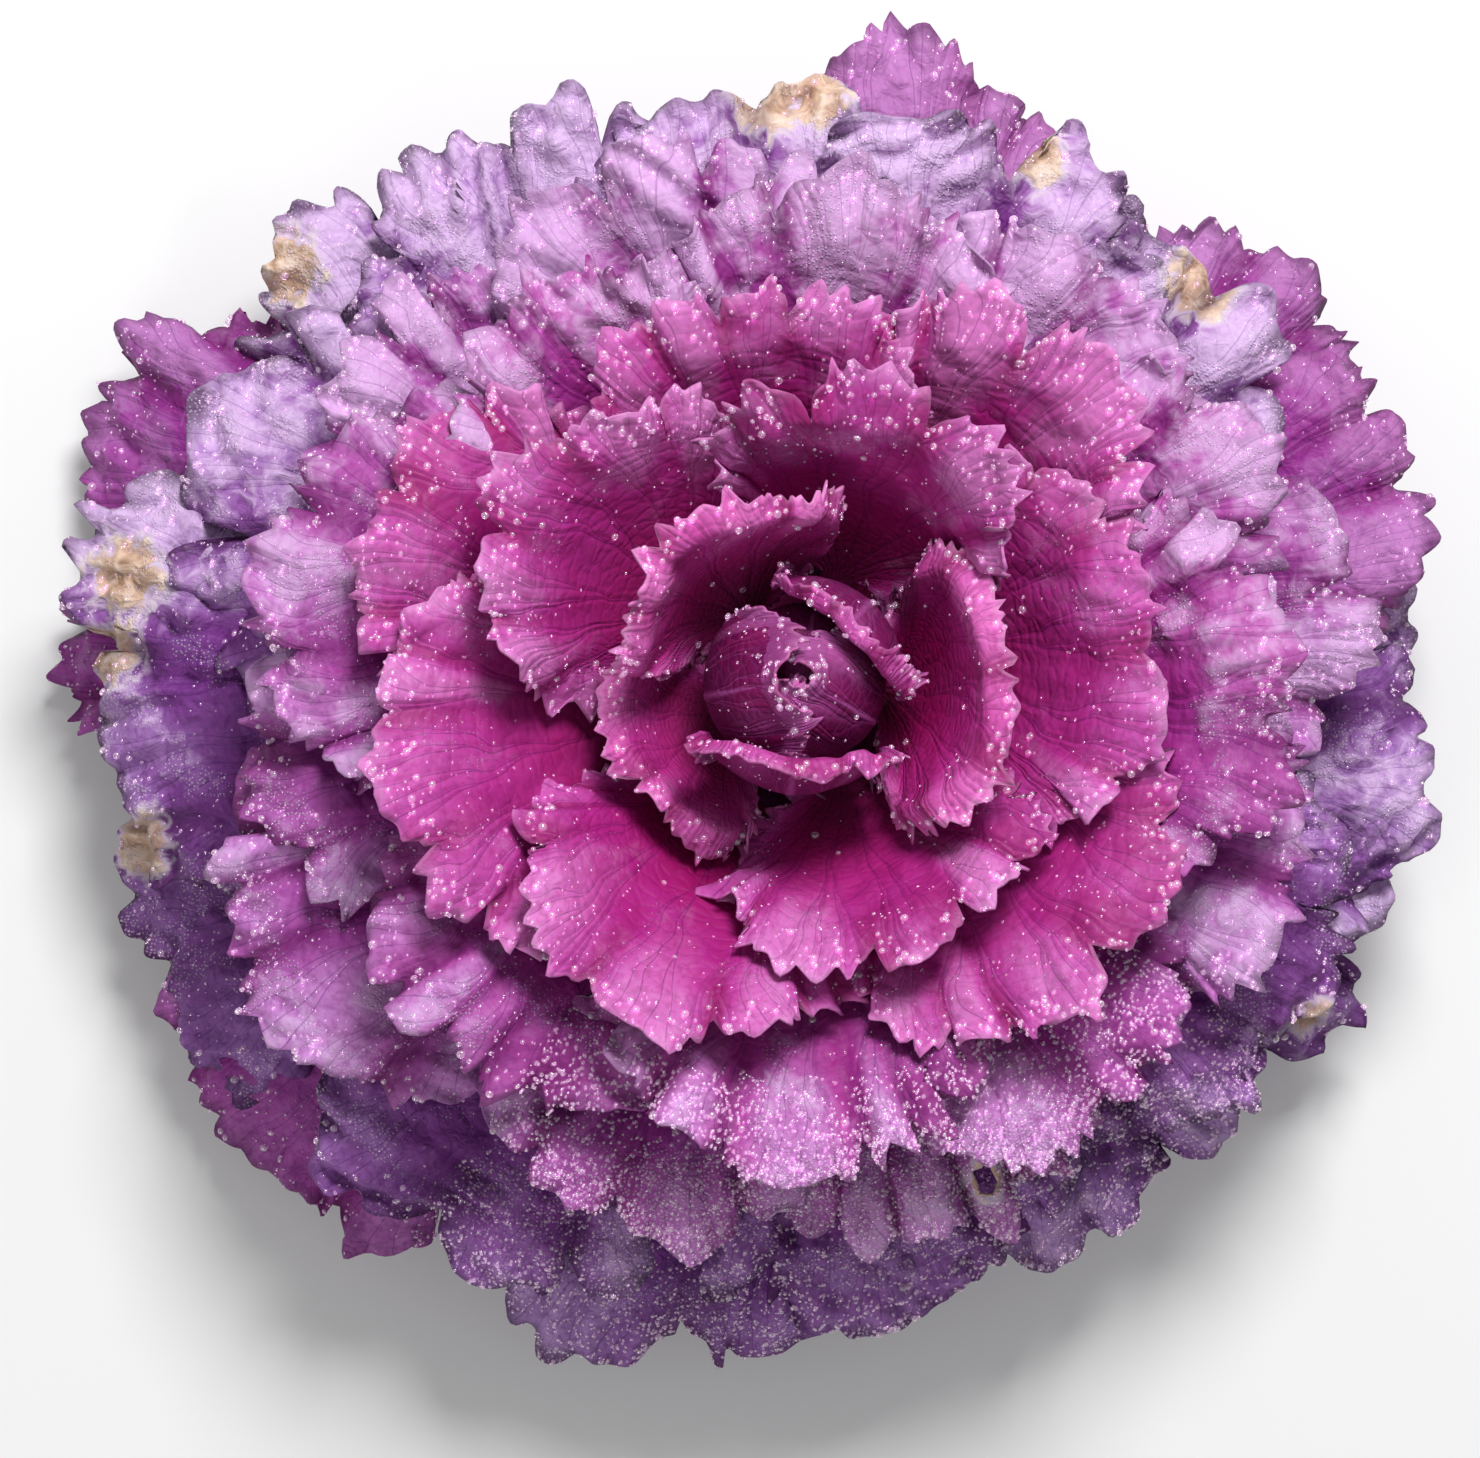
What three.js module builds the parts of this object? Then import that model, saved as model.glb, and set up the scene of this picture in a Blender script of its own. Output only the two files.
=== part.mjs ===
// Ornamental kale head, cut from its root: fifty-eight frilled leaves on one short stem.
// Millimetres, +Z up. The origin is the middle of the stem's flat cut, which the head stands on.
//
// Every leaf lies on its own level of one family of nested bowls, all turned about the stem's axis.
// Inner levels close over the heart, middle ones stand as cups and outer ones spread and droop.
// A leaf is an egg-shaped blade on a keeled stalk, waved and toothed more and more to its margin.

import * as THREE from "three";

const { degToRad, clamp, lerp, mapLinear } = THREE.MathUtils;

// ---- Dimensions of the stem ---------------------------------------------------------------------

const STEM_FOOT_RADIUS = 15.5;
const STEM_SIDES = 24;
// Height and radius of the stem where its taper changes, from the cut to the growing tip.
const STEM_TAPER = [
  [0, STEM_FOOT_RADIUS],
  [30, 15],
  [53, 13],
  [67, 10],
  [79, 6.5],
  [88, 3],
];
const STEM_TIP_HEIGHT = 90;

// ---- Dimensions of the rosette ------------------------------------------------------------------

// Middle lines of some leaves: the height they leave the stem at, and as radius and height the end
// of a Bezier's first arm, the start of its second and its end. Between two of these levels the
// points move in a straight line. Levels are numbered so that one is about a millimetre from the
// next where blades lie over others.
const LEVELS = [
  { at: 0, foot: 85, line: [[14, 86], [20, 106], [1.2, 110]] },
  { at: 5.8, foot: 81, line: [[21, 81], [27, 107], [3, 119]] },
  { at: 11.8, foot: 78, line: [[26, 77], [32, 108], [13, 124]] },
  { at: 14, foot: 77, line: [[26, 76], [31, 104], [33, 127]] },
  { at: 21, foot: 74, line: [[30, 73], [37, 105], [48, 131]] },
  { at: 38, foot: 68, line: [[40, 67], [53, 105], [83, 122]] },
  { at: 57, foot: 58, line: [[47, 60], [68, 98], [108, 107]] },
  { at: 84, foot: 43, line: [[55, 48], [91, 82], [144, 78]] },
  { at: 132, foot: 18, line: [[62, 27], [110, 49], [176, 9]] },
];
// Clearance between a stalk's end and the stem.
const STEM_GAP = 0.3;
// Levels between two leaves that don't lie over each other.
const LEAST_STEP = 0.4;

// ---- Dimensions of the leaves -------------------------------------------------------------------

const BLADE_THICKNESS = 0.8;
// The margin runs round an egg, blunt end outwards, from one side of the stalk to the other.
// Its middle is that share of the blade's length from the stalk, and it widens outwards by a share.
const EGG_HALF_TURN = degToRad(165);
const EGG_MIDDLE = 0.6;
const EGG_TAPER = 0.3;
// Teeth of one margin, and the shares of their kind's depth between which each is drawn.
const TEETH = 16;
const SHALLOW_TOOTH = 0.6;
const DEEP_TOOTH = 1.4;
// Waves of a ruffle round the margin, fewest and most, and the share of the ruffle's height by
// which its waves are lifted off the level.
const FEWEST_WAVES = 4;
const MOST_WAVES = 6;
const RUFFLE_LEAN = 0.3;
// Most that a blade wraps round the stem to each side.
const WRAP_LIMIT = degToRad(150);
// Steps across the stalk. Then rows of points across a blade, as shares of the way from the stalk
// to the margin, and how many steps each row takes from one side of the leaf to the other.
const STALK_STEPS = 2;
const BLADE_ROWS = [
  { share: 0.4, steps: 6 },
  { share: 0.7, steps: 12 },
  { share: 0.88, steps: 16 },
  { share: 1, steps: 2 * TEETH },
];

// The kinds of leaf, from the heart outwards: share of the leaf that is stalk, half the stalk's
// width, the keel's depth, the ruffle's height at the margin, the depth of the teeth, how far round
// the stem a leaf's sides wrap, and how many levels it keeps below one that it lies under.
const HEART = { stalk: 0.12, halfStalk: 2.2, keel: 0.8, ruffle: 0.8, tooth: 1.1, wrap: 1, below: 2.2 };
const COLLAR = { stalk: 0.16, halfStalk: 3.2, keel: 1.4, ruffle: 2.6, tooth: 2.2, wrap: 1, below: 4.6 };
const MIDDLE = { stalk: 0.2, halfStalk: 3.8, keel: 2, ruffle: 3.3, tooth: 2.8, wrap: 0.82, below: 6.4 };
const SPREADING = { stalk: 0.3, halfStalk: 4.2, keel: 2.4, ruffle: 3.7, tooth: 3.4, wrap: 0.76, below: 6.2 };
const SKIRT = { stalk: 0.36, halfStalk: 4.6, keel: 2.6, ruffle: 3.8, tooth: 4.2, wrap: 0.7, below: 6.6 };

// Leaves from the youngest out, as they lie over each other.
// Azimuth in degrees from +X towards +Y, distance of the tip from the axis, and width.
// The heart's leaves run to the end of their middle line, so their reach is left open.
const LEAVES = [
  [HEART, 290, Infinity, 18],
  [HEART, 78, Infinity, 30],
  [HEART, 330, Infinity, 34],
  [HEART, 190, Infinity, 38],
  [HEART, 48, Infinity, 48],
  [HEART, 265, Infinity, 50],
  [COLLAR, 128, 37, 62],
  [COLLAR, 355, 42, 62],
  [COLLAR, 209, 41, 51],
  [MIDDLE, 69, 60, 66],
  [MIDDLE, 294, 60, 67],
  [MIDDLE, 144, 71, 70],
  [MIDDLE, 8, 73, 77],
  [MIDDLE, 243, 78, 74],
  [MIDDLE, 100, 81, 70],
  [MIDDLE, 195, 88, 80],
  [MIDDLE, 317, 88, 83],
  [MIDDLE, 50, 89, 72],
  [MIDDLE, 159, 96, 67],
  [SPREADING, 356, 99, 78],
  [SPREADING, 270, 104, 78],
  [SPREADING, 127, 98, 64],
  [SPREADING, 226, 106, 78],
  [SPREADING, 86, 105, 74],
  [SPREADING, 25, 106, 70],
  [SPREADING, 303, 111, 76],
  [SPREADING, 167, 115, 80],
  [SPREADING, 336, 113, 71],
  [SPREADING, 52, 110, 76],
  [SPREADING, 109, 117, 76],
  [SPREADING, 250, 123, 78],
  [SPREADING, 189, 117, 76],
  [SPREADING, 143, 119, 76],
  [SPREADING, 285, 122, 78],
  [SPREADING, 12, 121, 78],
  [SPREADING, 209, 134, 86],
  [SKIRT, 325, 130, 80],
  [SKIRT, 68, 127, 80],
  [SKIRT, 97, 129, 80],
  [SKIRT, 158, 136, 80],
  [SKIRT, 46, 126, 80],
  [SKIRT, 236, 150, 80],
  [SKIRT, 280, 139, 80],
  [SKIRT, 348, 139, 80],
  [SKIRT, 122, 138, 80],
  [SKIRT, 180, 158, 84],
  [SKIRT, 303, 138, 80],
  [SKIRT, 20, 144, 66],
  [SKIRT, 77, 141, 62],
  [SKIRT, 258, 154, 84],
  [SKIRT, 202, 160, 84],
  [SKIRT, 141, 147, 80],
  [SKIRT, 331, 140, 78],
  [SKIRT, 36, 144, 60],
  [SKIRT, 158, 169, 59],
  [SKIRT, 220, 165, 80],
  [SKIRT, 2, 137, 76],
  [SKIRT, 177, 168, 42],
];

// ---- Stem -----------------------------------------------------------------------------------------

function stemRadius(height) {
  const above = STEM_TAPER.findIndex(([z]) => z > height);
  const [[z0, r0], [z1, r1]] = STEM_TAPER.slice(above - 1, above + 1);
  return mapLinear(height, z0, z1, r0, r1);
}

function stemGeometry() {
  const outline = [
    new THREE.Vector2(0, 0),
    ...STEM_TAPER.map(([z, r]) => new THREE.Vector2(r, z)),
    new THREE.Vector2(0, STEM_TIP_HEIGHT),
  ];
  const lathe = new THREE.LatheGeometry(outline, STEM_SIDES);
  return lathe.rotateX(Math.PI / 2);
}

// ---- Levels ---------------------------------------------------------------------------------------

// Middle line of a leaf on a level, as radius and height. Its stalk ends just off the stem.
function middleLine(level, stalkDepth) {
  const passed = LEVELS.slice(1, -1).filter(({ at }) => at < level).length;
  const [low, high] = LEVELS.slice(passed, passed + 2);
  const share = (level - low.at) / (high.at - low.at);
  const foot = lerp(low.foot, high.foot, share);
  const [a, b, c] = low.line.map(([r, z], i) =>
    new THREE.Vector2(r, z).lerp(new THREE.Vector2(...high.line[i]), share),
  );
  const start = new THREE.Vector2(stemRadius(foot - stalkDepth) + STEM_GAP, foot);
  return new THREE.CubicBezierCurve(start, a, b, c);
}

// Half of the turn about the stem that a leaf takes up. The heart's leaves are taken to go all round.
function halfSpread([kind, , reach, width]) {
  return reach === Infinity ? Math.PI : (kind.wrap * width) / reach;
}

function turnBetween(azimuth, other) {
  const turn = Math.abs(azimuth - other);
  return degToRad(Math.min(turn, 360 - turn));
}

// Each leaf lies on the highest level that keeps clear of those it lies under.
function leafLevels() {
  const levels = [];
  for (const leaf of LEAVES) {
    const [kind, azimuth] = leaf;
    const limits = levels.map((level, i) => {
      const under = turnBetween(azimuth, LEAVES[i][1]) < halfSpread(leaf) + halfSpread(LEAVES[i]);
      return level + (under ? kind.below : LEAST_STEP);
    });
    levels.push(Math.max(0, ...limits));
  }
  return levels;
}

// ---- Leaves ---------------------------------------------------------------------------------------

// A repeatable draw between low and high for one trait of one leaf: the digits of a large sine.
const WAVES_TRAIT = 1;
const PHASE_TRAIT = 2;
const FIRST_TOOTH_TRAIT = 10;

function draw(leaf, trait, low, high) {
  const digits = Math.sin(leaf * 13.21 + trait * 78.233) * 43758.5453;
  return lerp(low, high, digits - Math.floor(digits));
}

function growLeaf(index, level, [kind, azimuth, reach, width]) {
  const line = middleLine(level, BLADE_THICKNESS + kind.keel);
  const whole = line.getLength();
  const length = reach === Infinity ? whole : whole * shareToReach(line, reach);
  const stalk = kind.stalk * length;
  const blade = length - stalk;
  const waves = draw(index, WAVES_TRAIT, FEWEST_WAVES, MOST_WAVES);
  const phase = draw(index, PHASE_TRAIT, 0, 1);

  // Every other point of the margin is a tooth's tip and those between are its notches.
  const toothDepth = (step) => {
    const depth = draw(index, FIRST_TOOTH_TRAIT + step, SHALLOW_TOOTH, DEEP_TOOTH);
    return step % 2 ? kind.tooth * depth : 0;
  };

  // A place across and along the leaf, lifted off its level, in space.
  const onLevel = (across, along, lift) => {
    const share = clamp(along / whole, 0, 1);
    const past = along - share * whole;
    const point = line.getPointAt(share);
    const run = line.getTangentAt(share);
    const turn = degToRad(azimuth) + clamp(across / point.x, -WRAP_LIMIT, WRAP_LIMIT);
    const radius = point.x + run.x * past - run.y * lift;
    const height = point.y + run.y * past + run.x * lift;
    return new THREE.Vector3(radius * Math.cos(turn), radius * Math.sin(turn), height);
  };

  // Middle of the stalk's or the blade's thickness. Side runs from -1 to 1 across the leaf, and
  // share from 0 to 1 along the stalk, or over the blade from the stalk to the margin.
  const onStalk = (side, share) => onLevel(side * kind.halfStalk, share * stalk, 0);
  const onBlade = (side, share, tooth = 0) => {
    const round = side * EGG_HALF_TURN;
    const [out, up] = [Math.sin(round), Math.cos(round)];
    const far = EGG_MIDDLE + up * (up > 0 ? 1 - EGG_MIDDLE : EGG_MIDDLE);
    const half = (width / 2) * out * (1 + EGG_TAPER * up);
    const turn = 2 * Math.PI * (waves * (0.5 + side / 2) + phase);
    const rise = kind.ruffle * share ** 3;
    return onLevel(
      lerp(side * kind.halfStalk, half, share) + tooth * out,
      stalk + share * far * blade + tooth * up,
      rise * lerp(Math.sin(turn), 1, RUFFLE_LEAN),
    );
  };

  // Unit vector out of the leaf's upper face, from points a little way to each side.
  const upwards = (surface, side, share) => {
    const nudge = 1e-3;
    const across = surface(side + nudge, share).sub(surface(side - nudge, share));
    const along = surface(side, share + nudge).sub(surface(side, share - nudge));
    return across.cross(along).normalize();
  };

  const bladeRow = (steps, surface, share, keel, tooth) =>
    Array.from({ length: steps + 1 }, (_, step) => {
      const side = -1 + (2 * step) / steps;
      const up = upwards(surface, side, share);
      const middle = surface(side, share, tooth(step));
      const depth = BLADE_THICKNESS / 2 + (side === 0 ? keel : 0);
      return {
        side,
        top: middle.clone().addScaledVector(up, BLADE_THICKNESS / 2),
        under: middle.addScaledVector(up, -depth),
      };
    });
  const noTeeth = () => 0;

  // The stalk's end is cut upright, to stand face to face with the stem.
  const stalkEnd = [-1, 0, 1].map((side) => {
    const top = onStalk(side, 0);
    const drop = BLADE_THICKNESS + (side === 0 ? kind.keel : 0);
    return { side, top, under: top.clone().setZ(top.z - drop) };
  });
  const stalkRow = bladeRow(STALK_STEPS, onStalk, 1, kind.keel, noTeeth);
  const bladeRows = BLADE_ROWS.map(({ share, steps }) =>
    bladeRow(steps, onBlade, share, kind.keel * (1 - share) ** 2, share === 1 ? toothDepth : noTeeth),
  );
  return closedSheet([stalkEnd, stalkRow, ...bladeRows]);
}

// Share of a line's length at which it has come out as far as the reach, by halving the doubt.
function shareToReach(line, reach) {
  const HALVINGS = 30;
  let [low, high] = [0, 1];
  for (let i = 0; i < HALVINGS; i++) {
    const middle = (low + high) / 2;
    if (line.getPointAt(middle).x < reach) low = middle;
    else high = middle;
  }
  return low;
}

// One closed solid from rows of paired top and under points. The two faces are split alike.
function closedSheet(rows) {
  const corners = [];
  const triangle = (...points) => corners.push(...points.flatMap((p) => p.toArray()));
  const bothFaces = (a, b, c) => {
    triangle(a.top, b.top, c.top);
    triangle(a.under, c.under, b.under);
  };
  // Between two rows, the step whose middle comes first from the left is taken first.
  for (let i = 1; i < rows.length; i++) {
    const [near, far] = [rows[i - 1], rows[i]];
    const middleAfter = (row, at) => (at + 1 < row.length ? row[at].side + row[at + 1].side : Infinity);
    let n = 0;
    let f = 0;
    while (n + 1 < near.length || f + 1 < far.length) {
      if (middleAfter(far, f) <= middleAfter(near, n)) {
        bothFaces(near[n], far[f + 1], far[f]);
        f++;
      } else {
        bothFaces(near[n], near[n + 1], far[f]);
        n++;
      }
    }
  }
  const sides = rows.slice(1, -1);
  const rim = [
    ...rows[0],
    ...sides.map((row) => row.at(-1)),
    ...rows.at(-1).toReversed(),
    ...sides.toReversed().map((row) => row[0]),
  ];
  rim.forEach((a, i) => {
    const b = rim[(i + 1) % rim.length];
    triangle(a.top, a.under, b.under);
    triangle(a.top, b.under, b.top);
  });
  const position = new THREE.Float32BufferAttribute(corners, 3);
  return new THREE.BufferGeometry().setAttribute("position", position);
}

// ---- Assembly -------------------------------------------------------------------------------------

const skin = (color, roughness) => new THREE.MeshStandardMaterial({ color, roughness });
const STEM_SKIN = skin(0xb9a88f, 0.7);
const LEAF_SKINS = new Map([
  [HEART, skin(0x8a2478, 0.5)],
  [COLLAR, skin(0xa83288, 0.5)],
  [MIDDLE, skin(0xb8489a, 0.5)],
  [SPREADING, skin(0xa05ab0, 0.55)],
  [SKIRT, skin(0x9477b8, 0.6)],
]);
const NAMES = new Map([
  [HEART, "heart_leaf"],
  [COLLAR, "collar_leaf"],
  [MIDDLE, "middle_leaf"],
  [SPREADING, "spreading_leaf"],
  [SKIRT, "skirt_leaf"],
]);

const kale = new THREE.Group();
const stem = new THREE.Mesh(stemGeometry(), STEM_SKIN);
stem.name = "stem";
kale.add(stem);

const grown = new Map();
const levels = leafLevels();
LEAVES.forEach((leaf, index) => {
  const [kind] = leaf;
  grown.set(kind, (grown.get(kind) ?? 0) + 1);
  const mesh = new THREE.Mesh(growLeaf(index, levels[index], leaf), LEAF_SKINS.get(kind));
  mesh.name = `${NAMES.get(kind)}_${String(grown.get(kind)).padStart(2, "0")}`;
  kale.add(mesh);
});

export default kale;
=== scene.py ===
# Ornamental kale head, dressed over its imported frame. The stem comes first, then the leaves from the
# heart outwards as they lie over each other, then the dew, and last the floor, lights and camera.

import math

import bpy
import numpy as np
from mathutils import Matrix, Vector
from mathutils.bvhtree import BVHTree


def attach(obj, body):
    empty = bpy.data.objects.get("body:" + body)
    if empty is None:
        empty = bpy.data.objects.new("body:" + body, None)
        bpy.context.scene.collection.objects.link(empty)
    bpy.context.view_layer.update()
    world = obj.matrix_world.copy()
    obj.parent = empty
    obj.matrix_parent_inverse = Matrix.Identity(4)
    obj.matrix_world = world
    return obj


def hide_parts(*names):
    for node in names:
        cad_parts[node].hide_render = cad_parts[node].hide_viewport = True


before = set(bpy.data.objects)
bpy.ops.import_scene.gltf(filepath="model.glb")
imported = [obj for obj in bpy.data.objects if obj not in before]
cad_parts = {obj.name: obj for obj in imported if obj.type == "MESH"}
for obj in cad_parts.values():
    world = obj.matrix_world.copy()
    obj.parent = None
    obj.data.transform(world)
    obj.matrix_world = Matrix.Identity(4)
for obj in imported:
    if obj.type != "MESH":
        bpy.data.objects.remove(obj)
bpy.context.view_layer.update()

# ---- Stem ----------------------------------------------------------------------------------------
# The short woody stump that carries all the leaves, cut across with a knife at its foot. Its bark is
# pale and corky, with the crescent scars of leaves that were shed, and the cut shows the pith.

MM = 0.001
# Heights and radii down the stem's side, in millimetres.
STEM_TAPER = [(0, 15.5), (30, 15), (53, 13), (67, 10), (79, 6.5), (88, 3), (90, 0.6)]
STEM_HEIGHT = STEM_TAPER[-1][0] * MM
FOOT_RADIUS = STEM_TAPER[0][1] * MM
STEM_RINGS = 58
# The scars lie on the spiral that the leaves grow in. Their sizes are in millimetres.
SCARS = 30
SCAR_TURN = math.radians(137.5)
FIRST_SCAR = 4
SCAR_RISE = 1.35
SCAR_HALF_WIDTH = 4.6
SCAR_HALF_HEIGHT = 2.1


def add_node(tree, kind, inputs=(), **settings):
    """A shader node with its settings, and its sockets by name or number set or linked."""
    made = tree.nodes.new("ShaderNode" + kind)
    for name, value in settings.items():
        setattr(made, name, value)
    for socket, value in dict(inputs).items():
        if isinstance(value, bpy.types.NodeSocket):
            tree.links.new(value, made.inputs[socket])
        else:
            made.inputs[socket].default_value = value
    return made


def calc(tree, operation, *values):
    return add_node(tree, "Math", enumerate(values), operation=operation).outputs[0]


def fade(tree, value, start, end):
    """A value taken smoothly from 0 at start to 1 at end."""
    inputs = {"Value": value, "From Min": start, "From Max": end}
    return add_node(tree, "MapRange", inputs, interpolation_type="SMOOTHSTEP").outputs["Result"]


def tint(tree, share, under, over, mode="MIX"):
    inputs = {0: share, 6: under, 7: over}
    return add_node(tree, "Mix", inputs, data_type="RGBA", blend_type=mode).outputs[2]


def ramp(tree, value, stops):
    made = add_node(tree, "ValToRGB", {"Fac": value})
    elements = made.color_ramp.elements
    while len(elements) < len(stops):
        elements.new(0.5)
    for element, (place, colour) in zip(elements, stops):
        element.position = place
        element.color = colour
    return made.outputs["Color"]


def hue(code):
    """A colour given as six hexadecimal digits, as a shader holds it."""
    parts = [int(code[i : i + 2], 16) / 255 for i in (0, 2, 4)]
    return (*[c / 12.92 if c < 0.04045 else ((c + 0.055) / 1.055) ** 2.4 for c in parts], 1)


def new_skin(name):
    skin = bpy.data.materials.new(name)
    skin.use_nodes = True
    return skin, skin.node_tree, skin.node_tree.nodes["Principled BSDF"]


def stem_radius(height):
    """Radius of the stem at a height, both in millimetres."""
    heights, radii = zip(*STEM_TAPER)
    return np.interp(height, heights, radii)


bark, tree, surface = new_skin("stem_bark")
coords = add_node(tree, "TexCoord").outputs["Object"]
cork = add_node(tree, "TexNoise", {"Vector": coords, "Scale": 260, "Detail": 5}).outputs["Fac"]
grain = add_node(tree, "Mapping", {"Vector": coords, "Scale": (1, 1, 0.16)}).outputs[0]
fibre = add_node(tree, "TexNoise", {"Vector": grain, "Scale": 900, "Detail": 3}).outputs["Fac"]
skin_tone = ramp(
    tree, cork, [(0.3, hue("8a7350")), (0.5, hue("b5a27c")), (0.68, hue("cfc39c"))]
)
skin_tone = tint(tree, fade(tree, fibre, 0.5, 0.75), skin_tone, hue("7c5f55"))
place = add_node(tree, "SeparateXYZ", {"Vector": coords}).outputs
flat_place = add_node(tree, "CombineXYZ", {"X": place["X"], "Y": place["Y"]}).outputs[0]
from_axis = add_node(tree, "VectorMath", {0: flat_place}, operation="LENGTH").outputs["Value"]
cut_tone = ramp(
    tree,
    calc(tree, "MULTIPLY", from_axis, 1 / FOOT_RADIUS),
    [(0.0, hue("e9e6cf")), (0.6, hue("dfdcb8")), (0.7, hue("b9c08a")), (0.86, hue("c9a2b0"))],
)
tree.links.new(
    tint(tree, fade(tree, place["Z"], 0.0006, 0.0002), skin_tone, cut_tone),
    surface.inputs["Base Color"],
)
surface.inputs["Roughness"].default_value = 0.72
bump = add_node(tree, "Bump", {"Height": cork, "Distance": 0.0006, "Strength": 0.6})
tree.links.new(bump.outputs["Normal"], surface.inputs["Normal"])

bpy.ops.object.select_all(action="DESELECT")
bpy.ops.mesh.primitive_cylinder_add(
    vertices=80,
    radius=FOOT_RADIUS,
    depth=STEM_HEIGHT,
    location=(0, 0, STEM_HEIGHT / 2),
    end_fill_type="TRIFAN",
)
stem = bpy.context.object
stem.name = "cut_stem"
bpy.ops.object.transform_apply(location=True)
bpy.ops.object.mode_set(mode="EDIT")
for ring in range(1, STEM_RINGS):
    bpy.ops.mesh.select_all(action="SELECT")
    bpy.ops.mesh.bisect(plane_co=(0, 0, STEM_HEIGHT * ring / STEM_RINGS), plane_no=(0, 0, 1))
bpy.ops.object.mode_set(mode="OBJECT")
for vertex in stem.data.vertices:
    x, y, z = vertex.co
    turn, height, share = math.atan2(y, x), z / MM, math.hypot(x, y) / FOOT_RADIUS
    radius = stem_radius(height)
    swell = 0.25 * math.sin(5 * turn + 0.09 * height) + 0.15 * math.sin(11 * turn - 0.2 * height)
    for scar in range(SCARS):
        round_to = (turn - scar * SCAR_TURN + math.pi) % (2 * math.pi) - math.pi
        above_scar = height - FIRST_SCAR - SCAR_RISE * scar
        ring_size = math.hypot(round_to * radius / SCAR_HALF_WIDTH, above_scar / SCAR_HALF_HEIGHT)
        swell += 0.55 * math.exp(-(((ring_size - 1) / 0.22) ** 2)) - 0.3 * math.exp(
            -((ring_size / 0.7) ** 4)
        )
    edge = min(1, height / 1.2)
    radius = (radius + swell * edge * min(1, radius / 9) - 0.5 * (1 - edge)) * share
    vertex.co = (radius * MM * math.cos(turn), radius * MM * math.sin(turn), z)
bpy.ops.object.shade_smooth_by_angle(angle=math.radians(50))
stem.data.materials.append(bark)
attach(stem, "root")
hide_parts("stem")

# ---- Heart leaves --------------------------------------------------------------------------------
# The youngest leaves, folded tight over the growing tip as a bud. Their backs are outermost: dusky
# purple with a waxy bloom and a pale rib, and only their frilled rims show the colour of the face.

# Middle lines of some leaves, in millimetres: the height that they leave the stem at, and as radius
# and height the end of a Bezier's first arm, the start of its second and its end.
LEVELS = [
    (0, 85, [(14, 86), (20, 106), (1.2, 110)]),
    (5.8, 81, [(21, 81), (27, 107), (3, 119)]),
    (11.8, 78, [(26, 77), (32, 108), (13, 124)]),
    (14, 77, [(26, 76), (31, 104), (33, 127)]),
    (21, 74, [(30, 73), (37, 105), (48, 131)]),
    (38, 68, [(40, 67), (53, 105), (83, 122)]),
    (57, 58, [(47, 60), (68, 98), (108, 107)]),
    (84, 43, [(55, 48), (91, 82), (144, 78)]),
    (132, 18, [(62, 27), (110, 49), (176, 9)]),
]
LEAST_STEP = 0.4
BLADE_THICKNESS = 0.8
EGG_HALF_TURN = math.radians(165)
WRAP_LIMIT = math.radians(150)
# Share of a leaf's rows that are its stalk, where its roll starts, and the part of that which curves.
STALK_ROWS = 0.14
ROLL_START = 0.86
ROLL_CURVE = 0.45

HEART = dict(
    stalk=0.12, half_stalk=2.2, keel=0.8, ruffle=0.6, crumple=0.2, wrap=1, below=2.2, narrow=1.4,
    lobes=7, lobe_depth=0.8, blunt=0.9, notch=0.8, teeth=26, tooth=1.4, pointed=1, knobbed=0,
    frill=0.7, sway=0.2, roll=0.6, droop=0,
    columns=176, rows=22, kept=0.5, drops=4, specks=8, beads=1,
    dew="heart",
)
FOLDED_HEART = dict(
    HEART, narrow=3, lobes=11, lobe_depth=1.2, teeth=34, tooth=2.1, frill=1.4, sway=0.6, roll=1.9
)
HEART_LEAVES = [
    (290, math.inf, 18), (78, math.inf, 30), (330, math.inf, 34),
    (190, math.inf, 38), (48, math.inf, 48), (265, math.inf, 50),
]
# How far each one reaches past the end of its middle line, so that the innermost shut over the tip.
HEART_OVER = [4, 4, 1.5, 0.5, -1.5, 0]
placed = []
upper_faces = []


def draw(leaf, trait, low, high):
    """A repeatable draw for one trait of one leaf, or of each of its lobes."""
    digits = np.sin(leaf * 13.21 + np.asarray(trait) * 78.233) * 43758.5453
    return low + (high - low) * (digits - np.floor(digits))


def level_of(kind, azimuth, reach, width):
    """The highest level that keeps a leaf clear of those that it lies under."""
    spread = math.pi if reach == math.inf else kind["wrap"] * width / reach
    level = 0
    for other_level, other_azimuth, other_spread in placed:
        turn = abs(azimuth - other_azimuth)
        under = math.radians(min(turn, 360 - turn)) < spread + other_spread
        level = max(level, other_level + (kind["below"] if under else LEAST_STEP))
    placed.append((level, azimuth, spread))
    return level


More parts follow.
